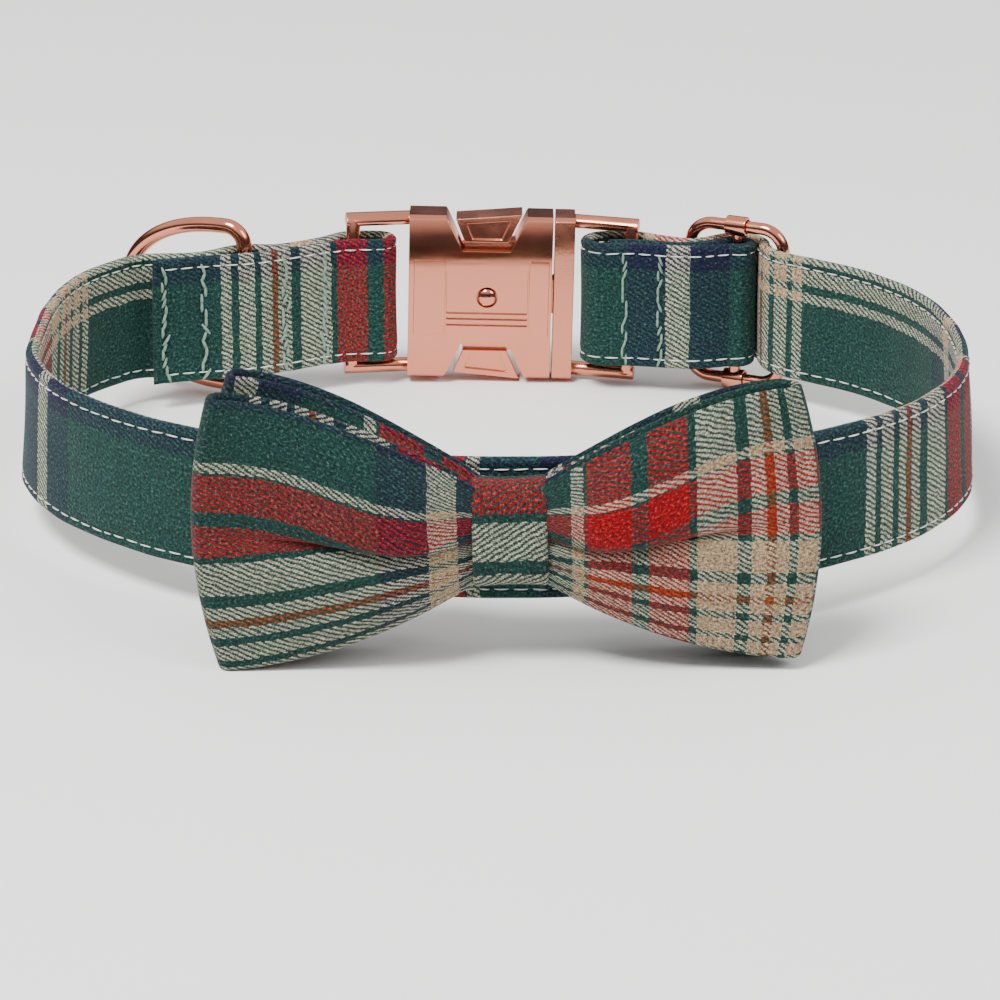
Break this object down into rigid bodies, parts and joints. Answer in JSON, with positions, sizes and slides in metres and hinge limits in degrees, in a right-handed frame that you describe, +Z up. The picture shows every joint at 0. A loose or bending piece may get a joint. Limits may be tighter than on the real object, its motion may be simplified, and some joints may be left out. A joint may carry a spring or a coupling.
{
  "type": "pet bow tie collar",
  "caption": "Plaid cloth pet collar with a two-loop bow tie, a fastened metal side-release buckle, a leash ring in a sewn channel and a wire slider",
  "frame": {"origin": "middle of the bounding box at the surface that the collar lies on", "axes": "+Z up, -Y towards the bow, +X along the collar's longer way across, the slider on the +X side"},
  "size_m": [0.1724, 0.1528, 0.0492],
  "materials": {
    "plaid_strap": "green, navy, cream and red plaid cotton twill over webbing",
    "plaid_bow": "red, green, cream and navy plaid cotton twill",
    "elastic": "plain dark elastic",
    "rose_gold": "polished rose gold plated zinc"
  },
  "bodies": {
    "collar": {"collar_strap": "plaid_strap", "buckle_housing": "rose_gold", "housing_rivet": "rose_gold", "buckle_plug": "rose_gold", "slider_frame": "rose_gold", "slider_bar": "rose_gold", "front_bow": "plaid_bow", "rear_bow": "plaid_bow", "bow_knot": "plaid_bow", "elastic_loop_left": "elastic", "elastic_loop_right": "elastic"},
    "leash_ring": {"d_ring": "rose_gold"},
    "lever_top": {"release_lever_top": "rose_gold"},
    "lever_bottom": {"release_lever_bottom": "rose_gold"}
  },
  "joints": [
    {"name": "leash_ring_swing", "type": "hinge", "parent": "collar", "child": "leash_ring", "pos_m": [-0.04886, 0.06017, 0.01851], "axis": [0, -0.021, -0.9998], "range_deg": [-25, 110]},
    {"name": "lever_top_press", "type": "hinge", "parent": "collar", "child": "lever_top", "pos_m": [0.00841, 0.07221, 0.02489], "axis": [0, -0.9998, 0.021], "range_deg": [0, 5], "stiffness_Nm_per_rad": 0.05},
    {"name": "lever_bottom_press", "type": "hinge", "parent": "collar", "child": "lever_bottom", "pos_m": [0.00807, 0.0719, 0.00989], "axis": [0, 0.9998, -0.021], "range_deg": [0, 5], "stiffness_Nm_per_rad": 0.05}
  ]
}
